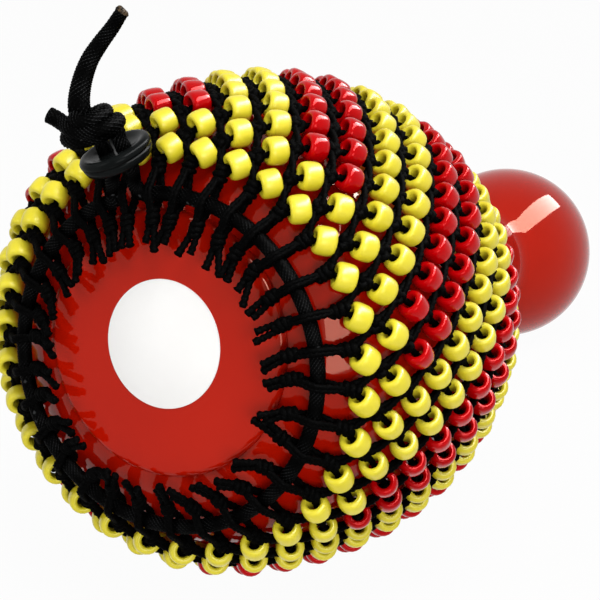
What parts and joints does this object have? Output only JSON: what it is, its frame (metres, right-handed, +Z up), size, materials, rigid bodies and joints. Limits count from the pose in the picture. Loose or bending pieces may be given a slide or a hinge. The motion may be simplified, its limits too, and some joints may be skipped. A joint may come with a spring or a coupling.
{
  "type": "gourd cabasa",
  "caption": "Gourd cabasa: a glossy hollow gourd with a flat base and a bulb handle, dressed in a loose knotted net of beads that turns on it, closed by a drawstring with a button.",
  "frame": {"origin": "on the floor below the middle of the cabasa as it lies on its beads and its handle bulb", "axes": "+X along the length, from the base plate towards the handle bulb; +Y to the left seen from the base; +Z up"},
  "size_m": [0.33, 0.1673, 0.2022],
  "materials": {
    "gourd_red": "glossy red moulded gelcoat",
    "label_white": "matt white printed-paper disc, left blank",
    "net_cord": "waxed black cord",
    "drawstring_cord": "braided black cord",
    "yellow_bead": "glossy opaque yellow",
    "red_bead": "glossy opaque red",
    "button_black": "glossy black"
  },
  "bodies": {
    "gourd": {"gourd_shell": "gourd_red", "base_plate": "gourd_red", "base_label": "label_white"},
    "net": {"tassel_row": "net_cord", "gather_strands": "net_cord", "neck_collar": "net_cord", "drawstring": "drawstring_cord", "drawstring_knot": "drawstring_cord", "drawstring_stub": "drawstring_cord", "drawstring_tail": "drawstring_cord", "net_knots_01": "net_cord", "net_knots_02": "net_cord", "net_knots_03": "net_cord", "net_knots_04": "net_cord", "net_knots_05": "net_cord", "net_knots_06": "net_cord", "net_knots_07": "net_cord", "net_knots_08": "net_cord", "net_knots_09": "net_cord", "net_knots_10": "net_cord", "net_knots_11": "net_cord", "net_knots_12": "net_cord", "net_knots_13": "net_cord", "net_knots_14": "net_cord", "yellow_beads_01": "yellow_bead", "yellow_beads_02": "yellow_bead", "yellow_beads_03": "yellow_bead", "yellow_beads_04": "yellow_bead", "yellow_beads_05": "yellow_bead", "yellow_beads_06": "yellow_bead", "yellow_beads_07": "yellow_bead", "yellow_beads_08": "yellow_bead", "yellow_beads_09": "yellow_bead", "yellow_beads_10": "yellow_bead", "yellow_beads_11": "yellow_bead", "yellow_beads_12": "yellow_bead", "yellow_beads_13": "yellow_bead", "yellow_beads_14": "yellow_bead", "red_beads_03": "red_bead", "red_beads_04": "red_bead", "red_beads_05": "red_bead", "red_beads_06": "red_bead", "red_beads_07": "red_bead", "red_beads_08": "red_bead", "red_beads_09": "red_bead", "red_beads_10": "red_bead", "red_beads_11": "red_bead", "red_beads_12": "red_bead", "red_beads_13": "red_bead", "red_beads_14": "red_bead"},
    "button": {"drawstring_button": "button_black"}
  },
  "joints": [
    {"name": "net_turn", "type": "hinge", "parent": "gourd", "child": "net", "pos_m": [-0.1501, 0, 0.09854], "axis": [0.9761, 0, -0.2173], "continuous": true},
    {"name": "button_slide", "type": "slide", "parent": "net", "child": "button", "axis": [-0.2275, 0.3107, 0.9229], "range_m": [0, 0.003]}
  ]
}
